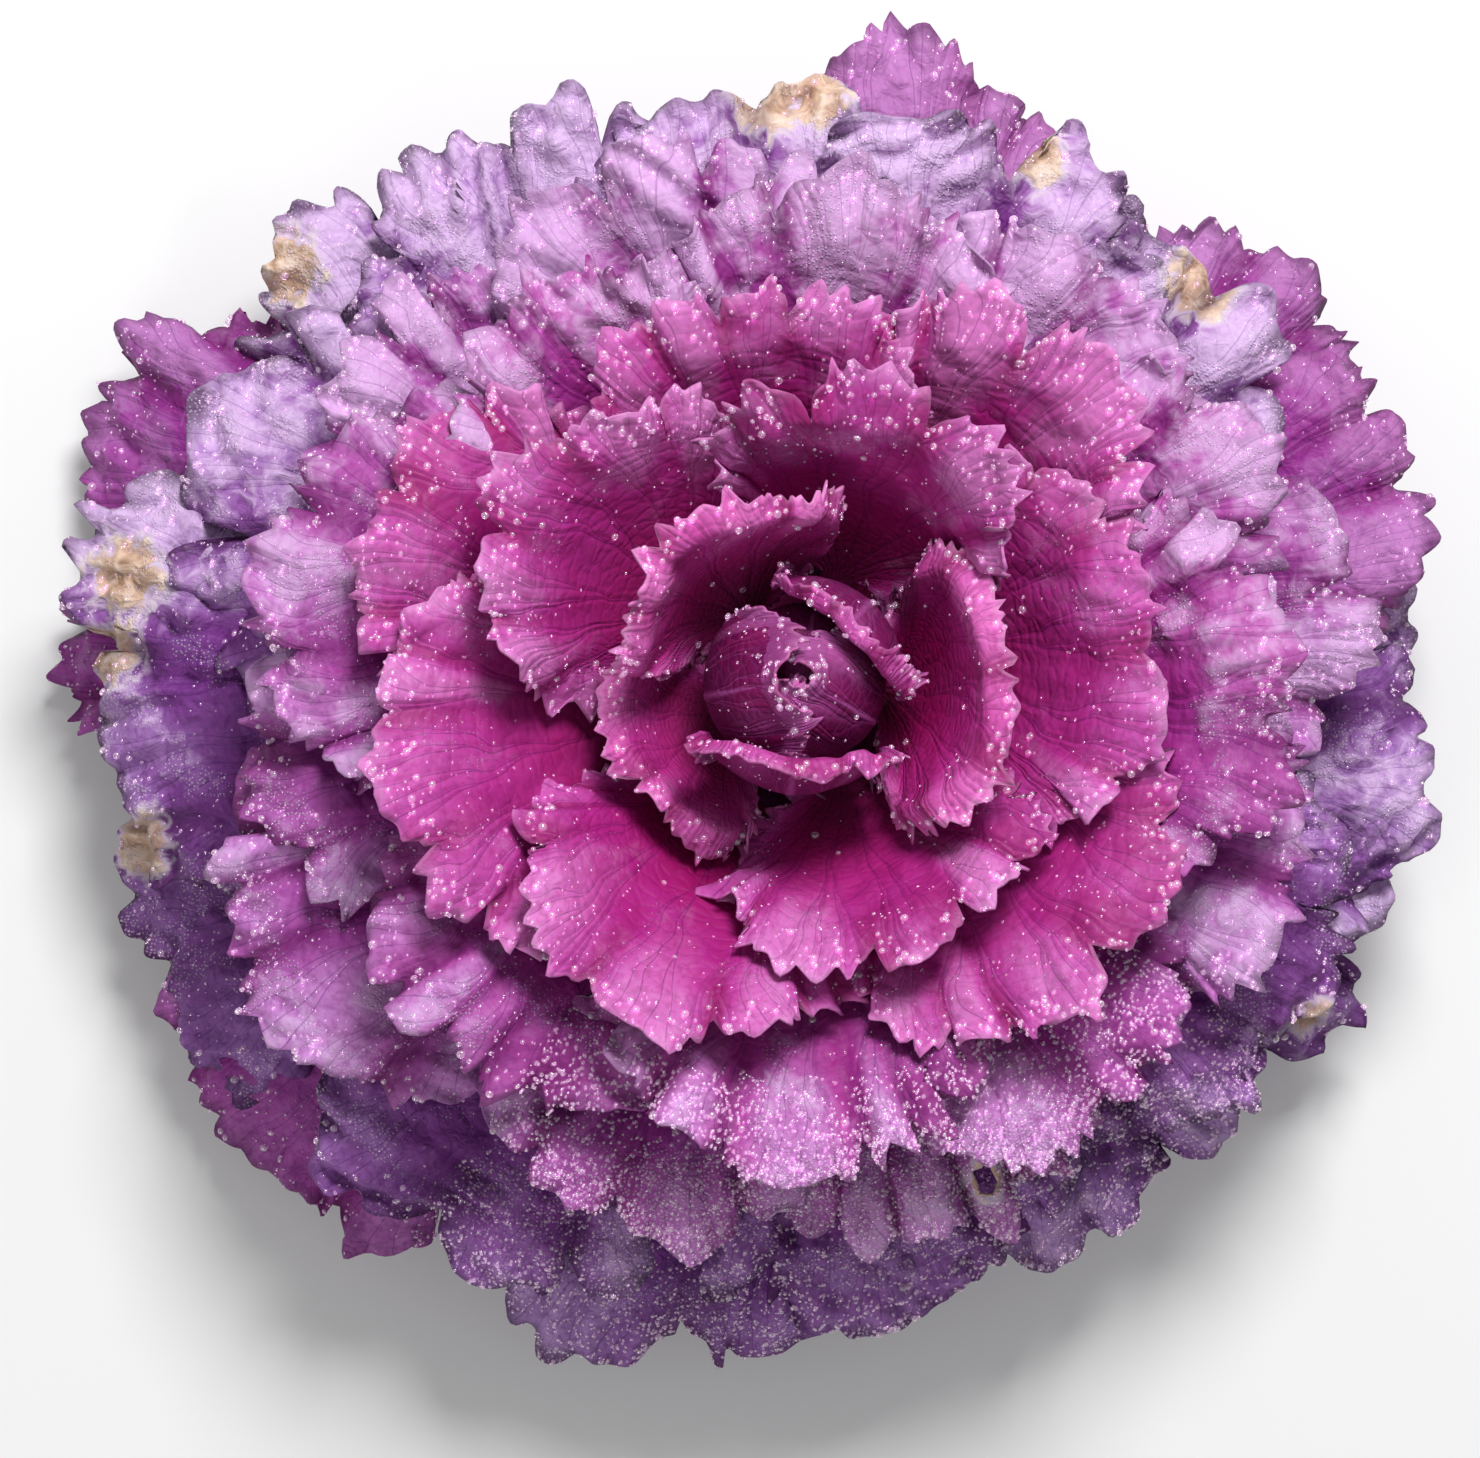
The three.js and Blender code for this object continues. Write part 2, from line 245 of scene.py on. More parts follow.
def middle_line(level, stalk_depth):
    """Points along a level's middle line from the stem out, as radius, height, run and length."""
    passed = sum(at < level for at, _, _ in LEVELS[1:-1])
    (low, low_foot, low_arms), (high, high_foot, high_arms) = LEVELS[passed : passed + 2]
    share = (level - low) / (high - low)
    foot = low_foot + share * (high_foot - low_foot)
    arms = np.array(low_arms) + share * (np.array(high_arms) - np.array(low_arms))
    start = (stem_radius(foot - stalk_depth) + 0.3, foot)
    a, b, c, d = np.array([start, *arms])
    t = np.linspace(0, 1, 400)[:, None]
    points = (1 - t) ** 3 * a + 3 * t * (1 - t) ** 2 * b + 3 * t**2 * (1 - t) * c + t**3 * d
    run = (1 - t) ** 2 * (b - a) + 2 * t * (1 - t) * (c - b) + t**2 * (d - c)
    run /= np.linalg.norm(run, axis=1)[:, None]
    steps = np.linalg.norm(np.diff(points, axis=0), axis=1)
    return points, run, np.concatenate([[0], np.cumsum(steps)])


def smooth(value):
    value = np.clip(value, 0, 1)
    return value * value * (3 - 2 * value)


def cells_across(index, trait, count, least, side):
    """Cuts the way across a leaf into cells of uneven width: each place's cell and its share of it."""
    widths = draw(index, trait + np.arange(count), least, 2 - least)
    ends = np.concatenate([[0], np.cumsum(widths)]) / widths.sum() * 2 - 1
    cell = np.clip(np.searchsorted(ends, side, "right") - 1, 0, count - 1)
    return cell, np.clip((side - ends[cell]) / (ends[cell + 1] - ends[cell]), 0, 1)


def folds_across(index, kind, side):
    """The lobe that each place across a leaf is in, its share of it and its fold's height there."""
    lobe, within = cells_across(index, 210, kind["lobes"], 0.3, side)
    crest = draw(index, 180 + lobe, 0.2, 1.6) * np.sin(math.pi * within) ** 1.4
    return lobe, within, crest


def crumpled(index, across, along):
    """Uneven bumps a few millimetres wide over a leaf, for places on it in millimetres."""
    bend = 1.6 * np.sin((across - along) / 9 + index) + 1.2 * np.sin((across + 2 * along) / 13)
    total = 0
    for wave in range(6):
        bearing = draw(index, 540 + wave, 0, math.pi)
        place = across * np.cos(bearing) + along * np.sin(bearing)
        total = total + np.sin(2 * math.pi * place / draw(index, 550 + wave, 6, 15) + bend + wave)
    return total / 3


def grow_leaf(name, kind, azimuth, reach, width, skin, patches=(), over=0, holes=()):
    """One leaf: a sheet of points laid along its level, waved and toothed, then given its thickness."""
    index = len(placed)
    level = level_of(kind, azimuth, reach, width)
    points, run, lengths = middle_line(level, BLADE_THICKNESS + kind["keel"])
    whole = lengths[-1]
    length = whole if reach == math.inf else np.interp(reach, points[:, 0], lengths)
    stalk = kind["stalk"] * length
    blade = length - stalk + over

    bpy.ops.object.select_all(action="DESELECT")
    bpy.ops.mesh.primitive_grid_add(
        x_subdivisions=kind["columns"], y_subdivisions=kind["rows"], size=2, location=(0, 0, 0)
    )
    leaf = bpy.context.object
    leaf.name = name
    mesh = leaf.data
    count = len(mesh.vertices)
    grid = np.empty(count * 3)
    mesh.vertices.foreach_get("co", grid)
    column, row = -grid.reshape(-1, 3)[:, 0], (grid.reshape(-1, 3)[:, 1] + 1) / 2

    # Side runs from -1 to 1 across the leaf, and share from the stalk's end to the margin. Both
    # crowd their lines where the frill is.
    side = column + 0.25 * (column**3 - column)
    on_stalk = np.minimum(row / STALK_ROWS, 1)
    share = 1 - (1 - np.clip((row - STALK_ROWS) / (1 - STALK_ROWS), 0, 1)) ** 1.55

    # Margin: an egg's outline, blunt end outwards, cut into uneven lobes with pointed teeth on them.
    lobe, within, crest = folds_across(index, kind, side)
    arch = np.sin(math.pi * within)
    leaning = within ** draw(index, 240 + lobe, 0.6, 1.6)
    peak = np.clip(1 - np.abs(2 * leaning - 1), 0, 1) ** kind["blunt"]
    tip = kind["lobe_depth"] * draw(index, 11 + 2 * lobe, 0, 1.8) * peak
    notch = kind["notch"] * draw(index, 150 + lobe, 0, 1.8) * (1 - arch) ** 4
    spike, along_spike = cells_across(index, 300, kind["teeth"], 0.45, side)
    leaning = along_spike ** draw(index, 420 + spike, 0.55, 1.8)
    point = np.clip(1 - np.abs(2 * leaning - 1), 0, 1) ** kind["pointed"]
    point += kind["knobbed"] * (smooth(1.9 * point - 0.35) - point)
    sharp = kind["tooth"] * draw(index, 360 + spike, 0.1, 1.7) * point
    edge = np.clip((share - 0.8) / 0.2, 0, 1) ** 1.5
    tooth = (tip - notch + sharp) * edge

    # Ruffle: a few deep waves round the leaf, and near the margin the ridges that end in the lobes.
    waves = draw(index, 1, 3.5, 5.5)
    turn = 2 * math.pi * (waves * (0.5 + side / 2) + draw(index, 2, 0, 1))
    open_share = 1 - 0.6 * smooth((np.abs(side) - 0.5) / 0.5)
    round_to = side * EGG_HALF_TURN
    out, up = np.sin(round_to), np.cos(round_to)
    far = 0.6 + np.where(up > 0, 0.4 * np.abs(up) ** kind["narrow"], 0.6 * up)
    half = width / 2 * out * (1 + 0.3 * up)
    stem_side = side * kind["half_stalk"] * (1 + 0.5 * (1 - on_stalk) ** 2)
    sway = kind["sway"] * np.sin(2 * math.pi * (within - 0.5)) * crest**0.5 * share**4 * open_share

    # Roll: the outer part of the margin folds outwards over a short curve and goes on straight.
    wide = (1 - ROLL_START) * 0.8 * np.hypot(half, far * blade)
    rolled = np.clip((share - ROLL_START) / (1 - ROLL_START), 0, 1)
    full = kind["roll"] * draw(index, 600 + lobe, 0.75, 1.25) * open_share + 0.01
    angle = full * np.minimum(rolled / ROLL_CURVE, 1)
    beyond = np.maximum(rolled - ROLL_CURVE, 0)
    roll_back = wide * (np.sin(angle) * ROLL_CURVE / full + beyond * np.cos(full) - rolled)
    roll_down = wide * ((1 - np.cos(angle)) * ROLL_CURVE / full + beyond * np.sin(full))
    roll_down += tooth * np.sin(angle)
    tooth = tooth * np.cos(angle) + roll_back
    across = stem_side + (half - side * kind["half_stalk"]) * share + tooth * out + sway * up
    along = on_stalk * stalk + share * far * blade + tooth * up - sway * out - 0.5 * (1 - on_stalk)
    lift = (
        kind["ruffle"] * share**3 * (0.3 + 0.7 * np.sin(turn))
        + kind["frill"] * (2 * crest - 1) * (0.85 * share**8 + 0.15 * share**2) * open_share
        + kind["crumple"] * crumpled(index, across, along) * share * (0.4 + 0.6 * share) * open_share
        + draw(index, 480 + spike, -0.3, 0.7) * sharp * edge
        - roll_down - kind["droop"] * smooth((share - 0.8) / 0.2) * (0.5 + 0.5 * arch) * open_share
        + BLADE_THICKNESS / 2
    )

    at = np.clip(along, 0, whole)
    past = along - at
    radius, height = (np.interp(at, lengths, points[:, i]) for i in (0, 1))
    run_out, run_up = (np.interp(at, lengths, run[:, i]) for i in (0, 1))
    turn = math.radians(azimuth) + np.clip(across / radius, -WRAP_LIMIT, WRAP_LIMIT)
    from_axis = radius + run_out * past - run_up * lift
    leaf_points = np.stack(
        [from_axis * np.cos(turn), from_axis * np.sin(turn), height + run_up * past + run_out * lift],
        axis=1,
    )
    mesh.vertices.foreach_set("co", (leaf_points * MM).ravel())

    # The leaf's own map: across it from side to side, and from the stalk's end to the margin.
    corner = np.empty(len(mesh.loops), int)
    mesh.loops.foreach_get("vertex_index", corner)
    own_map = np.stack([(side + 1) / 2, 0.2 * on_stalk + 0.8 * share], axis=1)
    mesh.uv_layers[0].name = "leaf_map"
    mesh.uv_layers[0].data.foreach_set("uv", own_map[corner].ravel())

    # The back has a keel under the stalk that thins to a rib, and the blade thins to its margin.
    keel = kind["keel"] * (1 - share) ** 2 * np.clip(1 - (np.abs(stem_side) / kind["half_stalk"]), 0, 1)
    rib = 0.9 * (1 - share) * np.exp(-((across / 1.2) ** 2))
    thick = BLADE_THICKNESS * (1 - 0.3 * share**6) + np.maximum(keel, rib * (share > 0))
    most = BLADE_THICKNESS + kind["keel"] + 1
    weights = leaf.vertex_groups.new(name="depth")
    bins = np.round(thick / most * 40).astype(int)
    for step in np.unique(bins):
        weights.add(np.flatnonzero(bins == step).tolist(), step / 40, "REPLACE")

    for hole_azimuth, hole_radius, hole_size in holes:
        turn = math.radians(hole_azimuth)
        off = leaf_points[:, :2] - hole_radius * np.array([math.cos(turn), math.sin(turn)])
        bpy.ops.object.mode_set(mode="EDIT")
        bpy.ops.mesh.select_mode(type="VERT")
        bpy.ops.mesh.select_all(action="DESELECT")
        bpy.ops.object.mode_set(mode="OBJECT")
        mesh.vertices.foreach_set("select", np.hypot(*off.T) < hole_size)
        bpy.ops.object.mode_set(mode="EDIT")
        bpy.ops.mesh.delete(type="VERT")
        bpy.ops.object.mode_set(mode="OBJECT")

    thin = leaf.modifiers.new("thin_out", "DECIMATE")
    thin.ratio = kind["kept"]
    bpy.ops.object.modifier_apply(modifier=thin.name)
    faces = len(mesh.polygons)
    body = leaf.modifiers.new("thickness", "SOLIDIFY")
    body.thickness = most * MM
    body.offset = -1
    body.vertex_group = "depth"
    bpy.ops.object.modifier_apply(modifier=body.name)
    leaf.vertex_groups.clear()
    mesh.shade_smooth()

    # Which face a point is on, how high on a fold, how dry, and the leaf's own shade.
    starts = np.empty(len(mesh.polygons), int)
    mesh.polygons.foreach_get("loop_start", starts)
    corners = len(mesh.loops)
    back = np.zeros(corners)
    back[starts[faces] : starts[2 * faces]] = 1
    places = np.empty(corners * 2)
    mesh.uv_layers["leaf_map"].data.foreach_get("uv", places)
    places = places.reshape(-1, 2)
    fold = folds_across(index, kind, 2 * places[:, 0] - 1)[2]
    corner = np.empty(corners, int)
    mesh.loops.foreach_get("vertex_index", corner)
    spots = np.empty(len(mesh.vertices) * 3)
    mesh.vertices.foreach_get("co", spots)
    spots = spots.reshape(-1, 3)[corner] / MM
    dry = np.zeros(corners)
    for patch_azimuth, patch_radius, patch_size in patches:
        turn = math.radians(patch_azimuth)
        off = spots[:, 0] - patch_radius * math.cos(turn), spots[:, 1] - patch_radius * math.sin(turn)
        dry = np.maximum(dry, 1 - np.hypot(*off) / patch_size)
    shade = np.full(corners, float(draw(index, 5, 0, 1)))
    age = np.full(corners, float(level))
    for label, values in (
        ("back_face", back), ("fold", fold), ("dry_patch", dry), ("leaf_shade", shade), ("leaf_age", age)
    ):
        mesh.attributes.new(label, "FLOAT", "CORNER").data.foreach_set("value", values)
    mesh.materials.append(skin)
    upper_faces.append((leaf, kind, faces))
    return leaf


# Veins that fan out from the stalk and fork three times on their way to the margin.
veins = bpy.data.node_groups.new("forking_veins", "ShaderNodeTree")
for label, kind_of, way in (
    ("Place", "NodeSocketVector", "INPUT"),
    ("Fans", "NodeSocketFloat", "INPUT"),
    ("Shift", "NodeSocketFloat", "INPUT"),
    ("Line", "NodeSocketFloat", "OUTPUT"),
    ("Swell", "NodeSocketFloat", "OUTPUT"),
):
    veins.interface.new_socket(label, in_out=way, socket_type=kind_of)
given = veins.nodes.new("NodeGroupInput").outputs
away = add_node(veins, "SeparateXYZ", {"Vector": given["Place"]}).outputs
stretched = add_node(veins, "Mapping", {"Vector": given["Place"], "Scale": (4, 2, 1)}).outputs[0]
shifted = add_node(veins, "VectorMath", {0: stretched, 1: given["Shift"]}, operation="ADD").outputs[0]
wander = add_node(
    veins, "TexNoise", {"Vector": shifted, "Scale": 1.3, "Detail": 2}, noise_dimensions="2D"
).outputs["Fac"]
wander = calc(veins, "SUBTRACT", wander, 0.5)
share = calc(veins, "DIVIDE", calc(veins, "SUBTRACT", away["Y"], 0.2), 0.8)
share = calc(veins, "ADD", share, calc(veins, "MULTIPLY", wander, 0.12))
fan = calc(veins, "MULTIPLY", away["X"], given["Fans"])
fan = calc(veins, "ADD", fan, calc(veins, "MULTIPLY", wander, 0.9))
off = calc(veins, "ABSOLUTE", calc(veins, "SUBTRACT", calc(veins, "FRACT", fan), 0.5))
for start, spread in ((0.22, 0.25), (0.5, 0.125), (0.74, 0.0625)):
    opened = calc(veins, "MULTIPLY", calc(veins, "SUBTRACT", share, start), spread / (1 - start))
    opened = calc(veins, "MAXIMUM", opened, 0)
    off = calc(veins, "ABSOLUTE", calc(veins, "SUBTRACT", off, opened))
distance = calc(veins, "MULTIPLY", off, calc(veins, "MAXIMUM", share, 0.12))
thin_out = calc(veins, "SUBTRACT", 0.013, calc(veins, "MULTIPLY", share, 0.007))
line = calc(veins, "SUBTRACT", 1, fade(veins, calc(veins, "DIVIDE", distance, thin_out), 0.25, 1))
swell = fade(veins, distance, 0, 0.05)
taken = veins.nodes.new("NodeGroupOutput").inputs
veins.links.new(line, taken["Line"])
veins.links.new(swell, taken["Swell"])

# Specks of fine mist, each a drop too small to stand on its own.
mist = bpy.data.node_groups.new("fine_mist", "ShaderNodeTree")
for label, kind_of, way in (
    ("Place", "NodeSocketVector", "INPUT"),
    ("Spacing", "NodeSocketFloat", "INPUT"),
    ("Cover", "NodeSocketFloat", "INPUT"),
    ("Speck", "NodeSocketFloat", "OUTPUT"),
):
    mist.interface.new_socket(label, in_out=way, socket_type=kind_of)
given = mist.nodes.new("NodeGroupInput").outputs
per_metre = calc(mist, "DIVIDE", 1, given["Spacing"])
cells = add_node(
    mist, "TexVoronoi", {"Vector": given["Place"], "Scale": per_metre}, voronoi_dimensions="2D"
)
kept = add_node(mist, "SeparateXYZ", {"Vector": cells.outputs["Color"]}).outputs
size = calc(mist, "MULTIPLY", fade(mist, given["Cover"], kept["X"], 1.05), 0.42)
off_centre = calc(mist, "DIVIDE", cells.outputs["Distance"], calc(mist, "MAXIMUM", size, 0.01))
speck = calc(mist, "SUBTRACT", 1, off_centre)
taken = mist.nodes.new("NodeGroupOutput").inputs
mist.links.new(fade(mist, speck, 0, 0.7), taken["Speck"])

# The way to the side that was in the open, its length the gain in frost per metre, and the way to
# the low front, where mist is packed.
OPEN_SIDE = (1, 5.8, 0)
LOW_FRONT = (0.14, -0.99, 0)


def leaf_skin(
    name, ages, young, face, back, vein, back_vein, crest, frost, mist_cover, wrinkle, rim, rim_cover
):
    """Skin of one kind of leaf: its face and back from the stalk to the margin, veins and wear, with
    the crest colour painted as light on the crests of folds and darker face tones as shade in hollows.

    Its leaves go from the young face to the old one between the two levels named as ages.
    """
    skin, tree, surface = new_skin(name)
    coords = add_node(tree, "TexCoord").outputs["Object"]
    own_map = add_node(tree, "UVMap", uv_map="leaf_map").outputs[0]
    along = add_node(tree, "SeparateXYZ", {"Vector": own_map}).outputs["Y"]
    back_face, fold, dry_patch, shade, age = (
        add_node(tree, "Attribute", attribute_name=label).outputs["Fac"]
        for label in ("back_face", "fold", "dry_patch", "leaf_shade", "leaf_age")
    )
    on_face = calc(tree, "SUBTRACT", 1, back_face)
    blotch = add_node(tree, "TexNoise", {"Vector": coords, "Scale": 75, "Detail": 3}).outputs["Fac"]
    fleck = add_node(
        tree, "TexNoise", {"Vector": coords, "Scale": 700, "Detail": 2}, noise_dimensions="2D"
    ).outputs["Fac"]
    crease = add_node(
        tree, "TexNoise", {"Vector": coords, "Scale": 230, "Detail": 3, "Distortion": 0.6}
    ).outputs["Fac"]
    wander = calc(tree, "MULTIPLY", calc(tree, "SUBTRACT", blotch, 0.5), 0.5)
    place = calc(tree, "ADD", along, calc(tree, "MULTIPLY", wander, 0.6))
    # The face runs from dark at the stalk to pale at the margin: partly the leaf's own colour, and partly
    # painted shade where the stalk lies deep in the head.
    places = (0.22, 0.5, 0.78, 0.97)
    young_tone = ramp(tree, place, list(zip(places, map(hue, young))))
    old_tone = ramp(tree, place, list(zip(places, map(hue, face))))
    age = calc(tree, "ADD", age, calc(tree, "MULTIPLY", wander, 40))
    face_tone = tint(tree, fade(tree, age, *ages), young_tone, old_tone)
    back_tone = ramp(tree, place, list(zip(places, map(hue, back))))
    tone = tint(tree, back_face, face_tone, back_tone)

    # Painted light and shade: towards the margin the crests of the folds are painted pale as if lit,
    # and their hollows are painted dark as if in shade.
    margin = fade(tree, along, 0.62, 1)
    high = calc(tree, "MULTIPLY", fade(tree, calc(tree, "ADD", fold, wander), 0.35, 1.25), margin)
    tone = tint(tree, calc(tree, "MULTIPLY", high, 0.6), tone, hue(crest))
    low = calc(tree, "MULTIPLY", fade(tree, calc(tree, "ADD", fold, wander), 0.45, -0.05), margin)
    tone = tint(tree, calc(tree, "MULTIPLY", low, 0.7), tone, hue(face[1]))
    lighter = fade(tree, calc(tree, "ADD", shade, calc(tree, "MULTIPLY", wander, 1.5)), 0.1, 1.1)
    tone = tint(tree, calc(tree, "MULTIPLY", lighter, 0.15), tone, hue(face[3]))
    tone = tint(tree, calc(tree, "MULTIPLY", fade(tree, fleck, 0.42, 0.75), 0.3), tone, hue(face[1]))

    forks = tree.nodes.new("ShaderNodeGroup")
    forks.node_tree = veins
    tree.links.new(own_map, forks.inputs["Place"])
    forks.inputs["Fans"].default_value = 11
    tree.links.new(calc(tree, "MULTIPLY", shade, 40), forks.inputs["Shift"])
    in_mm = add_node(tree, "Mapping", {"Vector": own_map, "Scale": (26, 27, 1)}).outputs[0]
    netting = add_node(
        tree, "TexVoronoi", {"Vector": in_mm, "Scale": 1},
        feature="DISTANCE_TO_EDGE", voronoi_dimensions="2D",
    ).outputs["Distance"]
    net = calc(tree, "MULTIPLY", calc(tree, "SUBTRACT", 1, fade(tree, netting, 0.02, 0.09)), 0.3)
    lines = calc(tree, "MAXIMUM", forks.outputs["Line"], net)
    line_tone = tint(tree, back_face, hue(vein), hue(back_vein))
    tone = tint(tree, calc(tree, "MULTIPLY", lines, 0.45), tone, line_tone)

    # The back's pale rib, which narrows to nothing short of the margin.
    across = add_node(tree, "SeparateXYZ", {"Vector": own_map}).outputs["X"]
    off_rib = calc(tree, "ABSOLUTE", calc(tree, "SUBTRACT", across, 0.5))
    rib_width = calc(tree, "MULTIPLY", calc(tree, "SUBTRACT", 0.92, along), 0.05)
    on_rib = calc(tree, "MULTIPLY", fade(tree, off_rib, rib_width, 0), back_face)
    tone = tint(tree, calc(tree, "MULTIPLY", on_rib, 0.7), tone, hue(back_vein))

    # Frost-bleached bloom on the crests towards the margin, with the veins showing through it, and
    # more of it on the side that was in the open.
    open_side = add_node(tree, "VectorMath", {0: coords, 1: OPEN_SIDE}, operation="DOT_PRODUCT")
    pale = calc(tree, "ADD", place, calc(tree, "MULTIPLY", open_side.outputs["Value"], 0.5))
    pale = calc(tree, "ADD", pale, calc(tree, "MULTIPLY", wander, 1.9))
    pale = calc(tree, "ADD", pale, calc(tree, "MULTIPLY", calc(tree, "SUBTRACT", crease, 0.5), 1.1))
    pale = calc(tree, "ADD", pale, calc(tree, "MULTIPLY", fold, 0.34))
    pale = calc(tree, "MULTIPLY", fade(tree, pale, 0.97, 1.46), frost)
    pale = calc(tree, "MULTIPLY", pale, calc(tree, "SUBTRACT", 1, calc(tree, "MULTIPLY", lines, 0.4)))
    grains = calc(tree, "ADD", 0.72, calc(tree, "MULTIPLY", fade(tree, fleck, 0.3, 0.6), 0.28))
    pale = calc(tree, "MULTIPLY", pale, grains)
    tone = tint(tree, pale, tone, hue("e0c2e8"))

    # The line of the very margin, which is the leaf's own dark edge on the older leaves and a painted
    # pale edge highlight on the heart, collar and middle leaves, and patches that have dried to tan.
    edge = fade(tree, calc(tree, "ADD", along, calc(tree, "MULTIPLY", wander, 0.15)), 0.972, 1.01)
    tone = tint(tree, calc(tree, "MULTIPLY", edge, rim_cover), tone, hue(rim))
    dried = calc(tree, "ADD", dry_patch, calc(tree, "MULTIPLY", calc(tree, "SUBTRACT", crease, 0.5), 1.3))
    dried = calc(tree, "ADD", dried, calc(tree, "MULTIPLY", wander, 0.9))
    dried = calc(tree, "MINIMUM", dried, calc(tree, "MULTIPLY", dry_patch, 3))
    dry_tone = ramp(tree, crease, [(0.3, hue("92705a")), (0.48, hue("ccab94")), (0.68, hue("e4cfc0"))])
    tone = tint(tree, fade(tree, dried, 0.0, 0.3), tone, hue("cfbcd2"))
    tone = tint(tree, fade(tree, dried, 0.25, 0.45), tone, dry_tone)

    # Mist in drifts, and packed close low on the front of all but the oldest leaves.
    specks = tree.nodes.new("ShaderNodeGroup")
    specks.node_tree = mist
    tree.links.new(coords, specks.inputs["Place"])
    specks.inputs["Spacing"].default_value = 0.0009
    cover = calc(tree, "MULTIPLY", fade(tree, place, 0.4, 0.9), fade(tree, blotch, 0.4, 0.58))
    cover = calc(tree, "MULTIPLY", cover, mist_cover)
    low_front = add_node(tree, "VectorMath", {0: coords, 1: LOW_FRONT}, operation="DOT_PRODUCT")
    packed = calc(tree, "ADD", low_front.outputs["Value"], calc(tree, "MULTIPLY", wander, 0.06))
    packed = fade(tree, packed, 0.082, 0.1)
    packed = calc(tree, "MULTIPLY", packed, fade(tree, place, 0.35, 0.75))
    packed = calc(tree, "MULTIPLY", packed, fade(tree, age, 108, 94))
    cover = calc(tree, "MAXIMUM", cover, packed)
    tree.links.new(calc(tree, "MULTIPLY", cover, on_face), specks.inputs["Cover"])
    speck = specks.outputs["Speck"]
    tone = tint(tree, calc(tree, "MULTIPLY", speck, 0.4), tone, hue("ead8f0"))

    # Painted shade: the deepest hollows are painted dark again over the frost and mist.
    tone = tint(tree, calc(tree, "MULTIPLY", low, 0.15 + 0.45 * frost), tone, hue(face[0]))
    tree.links.new(tone, surface.inputs["Base Color"])

    rough = calc(tree, "ADD", 0.42, calc(tree, "MULTIPLY", fleck, 0.25))
    rough = calc(tree, "SUBTRACT", rough, calc(tree, "MULTIPLY", speck, 0.35))
    tree.links.new(rough, surface.inputs["Roughness"])
    quilt = calc(tree, "MULTIPLY", forks.outputs["Swell"], 0.4)
    quilt = calc(tree, "ADD", quilt, calc(tree, "MULTIPLY", crease, wrinkle))
    quilt = calc(tree, "ADD", quilt, calc(tree, "MULTIPLY", fade(tree, netting, 0, 0.3), 0.25))
    quilt = calc(tree, "ADD", quilt, calc(tree, "MULTIPLY", speck, 0.5))
    bump = add_node(tree, "Bump", {"Height": quilt, "Distance": 0.0008, "Strength": 0.6})
    tree.links.new(bump.outputs["Normal"], surface.inputs["Normal"])
    surface.inputs["Specular IOR Level"].default_value = 0.2
    return skin


def dress(leaf, node):
    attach(leaf, "root")
    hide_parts(node)


heart_skin = leaf_skin(
    "heart_skin",
    ages=(0, 12), young=("520030", "8a0856", "a4207a", "c04aa0"),
    face=("520030", "8a0856", "a4207a", "c04aa0"),
    back=("722862", "4c0238", "580640", "74165e"),
    vein="4a0640", back_vein="a04c90", crest="cc5cb2",
    frost=0.05, mist_cover=0.5, wrinkle=0.6, rim="e0a0d0", rim_cover=0.3,
)
for number, (azimuth, reach, width) in enumerate(HEART_LEAVES, 1):
    node = f"heart_leaf_{number:02d}"
    kind = FOLDED_HEART if number > 4 else HEART
    over = HEART_OVER[number - 1]
    leaf = grow_leaf(f"{node}_frilled", kind, azimuth, reach, width, heart_skin, over=over)
    dress(leaf, node)

# ---- Collar leaves -------------------------------------------------------------------------------
# Three cupped leaves that stand round the bud. Inside they are a wet, dark burgundy, partly their own
# colour and partly painted shade deep in the cups, and their rims curl outwards in a pink frill of small
# pointed teeth.

COLLAR = dict(
    stalk=0.16, half_stalk=3.2, keel=1.4, ruffle=2.6, crumple=0.4, wrap=1, below=4.6, narrow=1,
    lobes=10, lobe_depth=1.8, blunt=0.9, notch=1.8, teeth=48, tooth=2.7, pointed=1, knobbed=0,
    frill=1.3, sway=0.8, roll=1.25, droop=0,
    columns=224, rows=26, kept=0.45, drops=5, specks=5, beads=1,
    dew="heart",
)
COLLAR_LEAVES = [(128, 37, 62), (355, 42, 62), (209, 41, 51)]

collar_skin = leaf_skin(
    "collar_skin",
    ages=(14, 26), young=("5a0030", "a81068", "b82c8c", "d05cb0"),
    face=("3c0018", "86064e", "b42a88", "d05cb0"),
    back=("bc7cac", "962c80", "a82c8c", "c050a8"),
    vein="540442", back_vein="ac5a9c", crest="de78c0",
    frost=0.05, mist_cover=0.3, wrinkle=0.6, rim="eab0da", rim_cover=0.35,
)
for number, (azimuth, reach, width) in enumerate(COLLAR_LEAVES, 1):
    node = f"collar_leaf_{number:02d}"
    leaf = grow_leaf(f"{node}_frilled", COLLAR, azimuth, reach, width, collar_skin)
    dress(leaf, node)

# ---- Middle leaves -------------------------------------------------------------------------------
# Ten full-grown leaves in the hottest magenta, with fine dark veins that fork towards a ruffled
# margin. They spread like cups round the heart, each partly over the next one out.

MIDDLE = dict(
    stalk=0.2, half_stalk=3.8, keel=2, ruffle=3.5, crumple=0.8, wrap=0.82, below=6.4, narrow=1,
    lobes=11, lobe_depth=4, blunt=1.1, notch=4.4, teeth=46, tooth=3.2, pointed=1, knobbed=0,
    frill=2.2, sway=1.6, roll=0.45, droop=0.8,
    columns=240, rows=32, kept=0.3, drops=4, specks=9, beads=2.5,
    dew="middle",
)
MIDDLE_LEAVES = [
    (69, 60, 66), (294, 60, 67), (144, 71, 70), (8, 73, 77), (243, 78, 74),
    (100, 81, 70), (195, 88, 80), (317, 88, 83), (50, 89, 72), (159, 96, 67),
]

